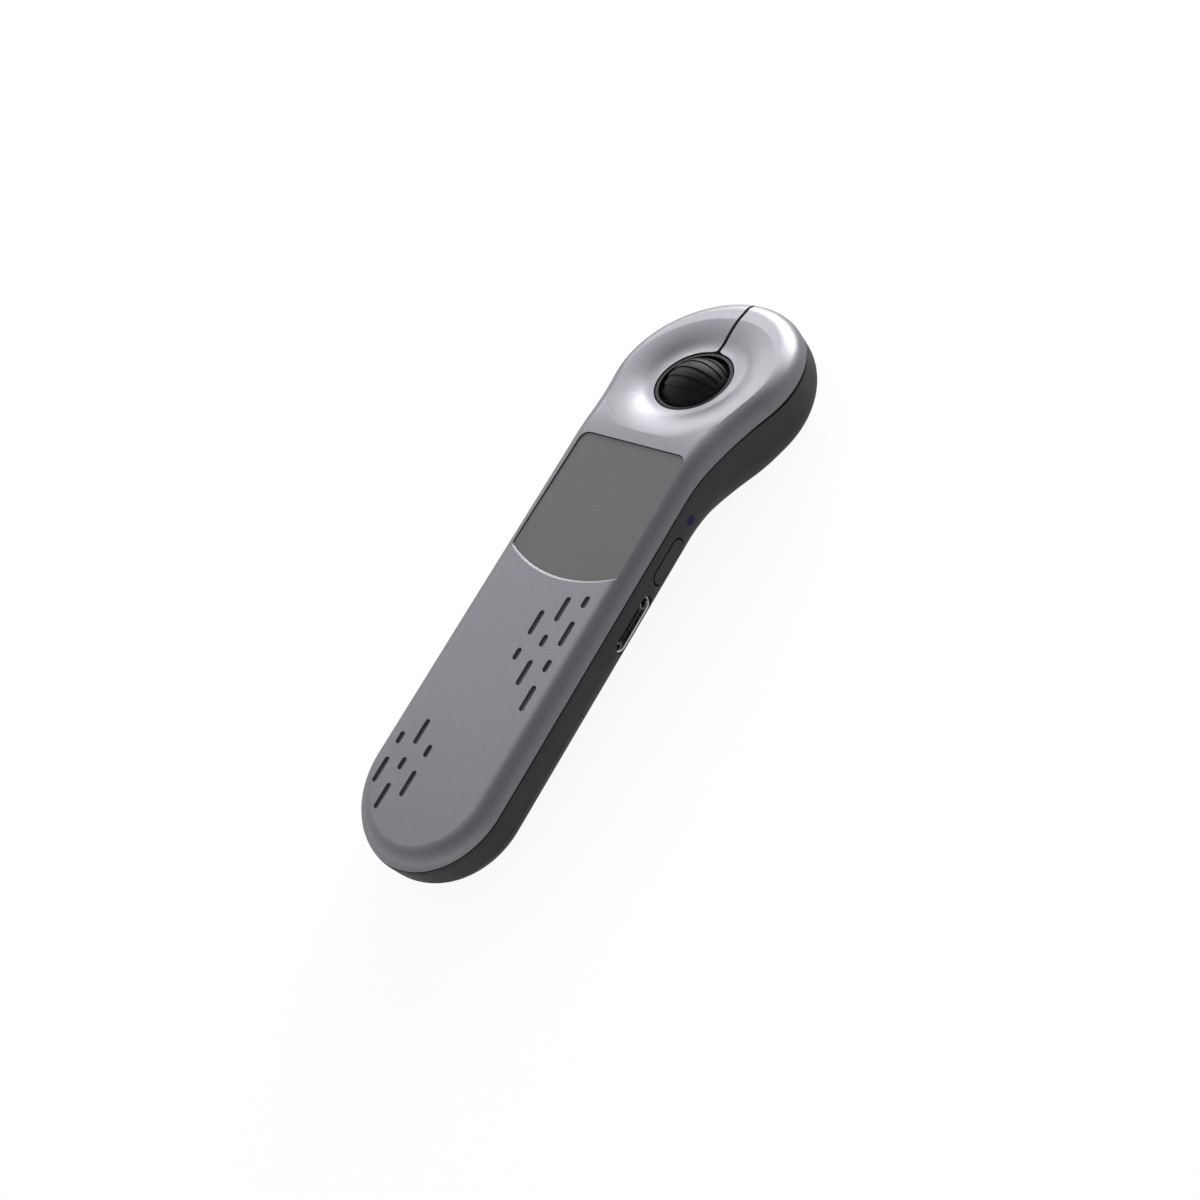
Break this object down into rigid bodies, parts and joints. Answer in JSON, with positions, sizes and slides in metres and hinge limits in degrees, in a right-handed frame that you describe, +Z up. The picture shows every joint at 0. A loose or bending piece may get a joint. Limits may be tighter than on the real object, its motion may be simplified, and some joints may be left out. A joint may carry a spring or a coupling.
{
  "type": "air mouse remote",
  "caption": "Slim hand-held air mouse remote with a round dished head, split click keys, scroll wheel, touch panel, side button and a stowed USB receiver.",
  "frame": {"origin": "middle of the part's box on the surface it lies on", "axes": "+X to the right seen from above, +Y from tail to nose, +Z up"},
  "size_m": [0.0402, 0.1306, 0.0187],
  "materials": {
    "painted_silver": "silver-grey metallic paint, satin",
    "charcoal_shell": "fine moulded texture",
    "panel_grey": "smooth satin",
    "bezel_grey": "moulded, satin",
    "button_black": "satin",
    "wheel_rubber": "satin, ribbed",
    "inner_plastic": "moulded",
    "contact_tongue": "moulded",
    "circuit_board": "solder mask",
    "dust_mesh": "fine woven mesh",
    "plated_steel": "bright plated",
    "axle_steel": "turned",
    "cell_pouch": "foil pouch",
    "laser_brass": "turned",
    "tinted_lens": "polished",
    "light_lens": "polished"
  },
  "bodies": {
    "case": {"top_cover": "painted_silver", "base_shell": "charcoal_shell", "touch_panel": "panel_grey", "wheel_bezel": "bezel_grey", "left_switch": "inner_plastic", "right_switch": "inner_plastic", "wheel_switch": "inner_plastic", "side_switch": "inner_plastic", "speaker": "inner_plastic", "motion_chip": "inner_plastic", "usb_tongue": "contact_tongue", "main_board": "circuit_board", "head_board": "circuit_board", "touch_board": "circuit_board", "speaker_mesh": "dust_mesh", "microphone_mesh": "dust_mesh", "usb_socket": "plated_steel", "usb_trim": "plated_steel", "pivot_pin": "axle_steel", "case_screws": "axle_steel", "bay_magnet": "axle_steel", "microphone": "axle_steel", "battery": "cell_pouch", "laser_barrel": "laser_brass", "laser_window": "tinted_lens", "status_light": "light_lens"},
    "left_key": {"left_key": "painted_silver", "left_plunger": "inner_plastic"},
    "right_key": {"right_key": "painted_silver", "right_plunger": "inner_plastic"},
    "wheel_carrier": {"wheel_carrier": "inner_plastic", "wheel_encoder": "inner_plastic", "wheel_plunger": "inner_plastic"},
    "wheel": {"wheel_tyre": "wheel_rubber", "wheel_hub": "inner_plastic", "wheel_axle": "axle_steel"},
    "side_button": {"side_button": "button_black", "side_plunger": "inner_plastic"},
    "tail_door": {"tail_door": "charcoal_shell"},
    "receiver": {"receiver_body": "button_black", "receiver_usb_a": "plated_steel", "receiver_usb_a_tongue": "contact_tongue", "receiver_usb_c": "plated_steel"}
  },
  "joints": [
    {"name": "left_key_press", "type": "hinge", "parent": "case", "child": "left_key", "pos_m": [0, 0.04008, 0.01308], "axis": [-1, 0, 0], "range_deg": [0, 1.3], "stiffness_Nm_per_rad": 1.2},
    {"name": "right_key_press", "type": "hinge", "parent": "case", "child": "right_key", "pos_m": [0, 0.04008, 0.01308], "axis": [-1, 0, 0], "range_deg": [0, 1.3], "stiffness_Nm_per_rad": 1.2},
    {"name": "wheel_press", "type": "hinge", "parent": "case", "child": "wheel_carrier", "pos_m": [0, 0.03016, 0.01087], "axis": [-1, 0, 0], "range_deg": [0, 2], "stiffness_Nm_per_rad": 0.9},
    {"name": "wheel_spin", "type": "hinge", "parent": "wheel_carrier", "child": "wheel", "pos_m": [0, 0.04173, 0.01052], "axis": [1, 0, 0], "continuous": true},
    {"name": "side_button_press", "type": "slide", "parent": "case", "child": "side_button", "axis": [-1, 0, 0], "range_m": [0, 0.0004], "stiffness_N_per_m": 2500},
    {"name": "door_release", "type": "slide", "parent": "case", "child": "tail_door", "axis": [0, 0.0745, -0.9972], "range_m": [0, 0.03]},
    {"name": "receiver_release", "type": "slide", "parent": "case", "child": "receiver", "axis": [0, 0.0745, -0.9972], "range_m": [0, 0.016]}
  ],
  "couplings": [
    {"joint": "receiver_release", "follows": "door_release", "ratio": 0.5}
  ]
}
